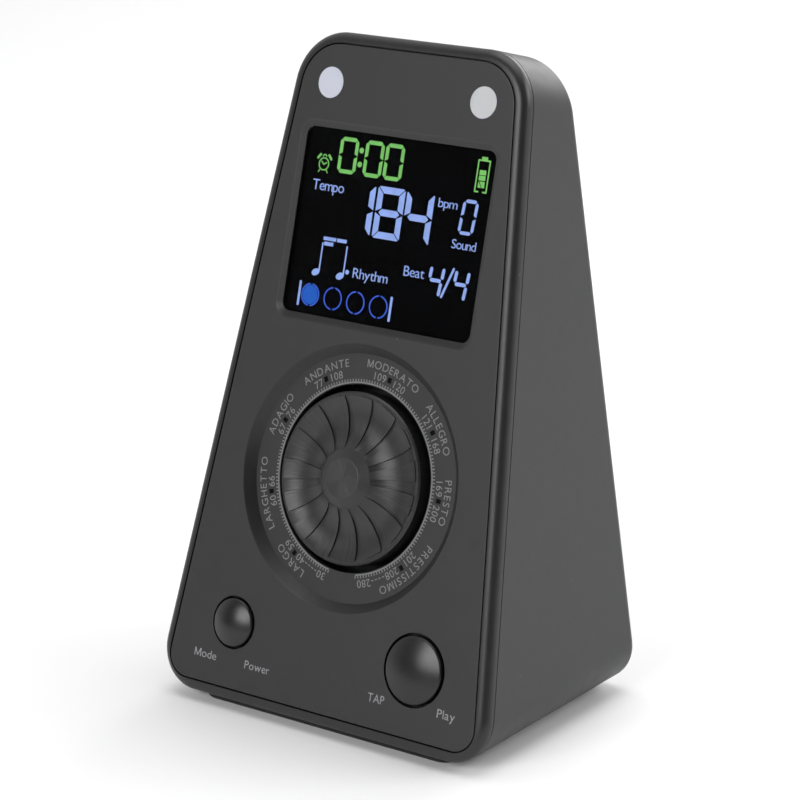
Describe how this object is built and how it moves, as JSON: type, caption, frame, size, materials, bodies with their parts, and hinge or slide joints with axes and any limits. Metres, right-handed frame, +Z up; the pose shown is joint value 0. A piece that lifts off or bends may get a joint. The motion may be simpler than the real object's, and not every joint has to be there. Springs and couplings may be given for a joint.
{
  "type": "digital metronome",
  "caption": "Digital metronome: wedge-shaped desk case with a sloping face, display, dished tempo dial, round push buttons, beat lamps and a rear speaker grille.",
  "frame": {"origin": "centre of the footprint's bounding rectangle, on the table", "axes": "+Z up, -Y towards the person facing the display, +X to that person's right"},
  "size_m": [0.0874, 0.057, 0.1405],
  "materials": {
    "case_plastic": "fine matte grain",
    "control_plastic": "satin",
    "foot_rubber": "matte",
    "screw_steel": "black oxide",
    "window_clear": "polished",
    "lcd_black": "polished",
    "lens_white": "milky, polished",
    "light_guide": "clear",
    "led_white": "moulded",
    "holder_plastic": "moulded",
    "board_black": "solder mask",
    "board_green": "solder mask",
    "chip_black": "moulded",
    "plunger_plastic": "moulded",
    "tin_plate": "plated",
    "turned_metal": "turned",
    "bushing_brass": "turned",
    "magnet_iron": "ground",
    "cone_paper": "pressed pulp",
    "coil_copper": "enamelled wire",
    "cell_wrap": "shrink wrap",
    "wire_cover": "insulation",
    "ribbon_film": "laminated film"
  },
  "bodies": {
    "root": {"front_plate": "case_plastic", "front_bezel": "case_plastic", "rear_housing": "case_plastic", "base_foot": "foot_rubber", "case_screws": "screw_steel", "display_window": "window_clear", "lcd_panel": "lcd_black", "lcd_backlight": "light_guide", "lcd_pins": "tin_plate", "lcd_holder": "holder_plastic", "beat_lens_left": "lens_white", "beat_lens_right": "lens_white", "beat_led_left": "led_white", "beat_led_right": "led_white", "scale_ring": "case_plastic", "tempo_light_guide": "light_guide", "tempo_led_1": "led_white", "tempo_led_2": "led_white", "tempo_led_3": "led_white", "tempo_led_4": "led_white", "tempo_led_5": "led_white", "tempo_led_6": "led_white", "tempo_led_7": "led_white", "tempo_led_8": "led_white", "encoder_body": "tin_plate", "encoder_bushing": "bushing_brass", "mode_switch": "chip_black", "tap_switch": "chip_black", "main_board": "board_black", "board_screws": "screw_steel", "controller_chip": "chip_black", "display_driver_chip": "chip_black", "clock_crystal": "tin_plate", "power_board": "board_green", "power_board_screws": "screw_steel", "usb_port": "tin_plate", "phones_jack": "chip_black", "charger_chip": "chip_black", "power_coil": "chip_black", "speaker_frame": "tin_plate", "speaker_magnet": "magnet_iron", "speaker_clamp": "tin_plate", "speaker_screws": "screw_steel", "battery_cell": "cell_wrap", "battery_holder": "holder_plastic", "battery_contact_minus": "tin_plate", "battery_contact_plus": "tin_plate", "battery_leads": "wire_cover", "speaker_leads": "wire_cover", "board_ribbon": "ribbon_film"},
    "tempo_dial": {"knob_body": "control_plastic", "knob_cap": "control_plastic", "encoder_shaft": "turned_metal"},
    "mode_key": {"mode_button": "control_plastic", "mode_plunger": "plunger_plastic"},
    "tap_key": {"tap_button": "control_plastic", "tap_plunger": "plunger_plastic"},
    "speaker_diaphragm": {"speaker_cone": "cone_paper", "voice_coil": "coil_copper"}
  },
  "joints": [
    {"name": "dial_turn", "type": "hinge", "parent": "root", "child": "tempo_dial", "pos_m": [0, -0.01329, 0.05272], "axis": [0, -0.9542, 0.299], "continuous": true},
    {"name": "mode_press", "type": "slide", "parent": "root", "child": "mode_key", "axis": [0, 0.9542, -0.299], "range_m": [0, 0.0006], "stiffness_N_per_m": 800, "springref_m": -0.0005},
    {"name": "tap_press", "type": "slide", "parent": "root", "child": "tap_key", "axis": [0, 0.9542, -0.299], "range_m": [0, 0.0006], "stiffness_N_per_m": 800, "springref_m": -0.0005},
    {"name": "cone_travel", "type": "slide", "parent": "root", "child": "speaker_diaphragm", "axis": [0, 1, 0], "range_m": [-0.0003, 0.0003], "stiffness_N_per_m": 600}
  ]
}
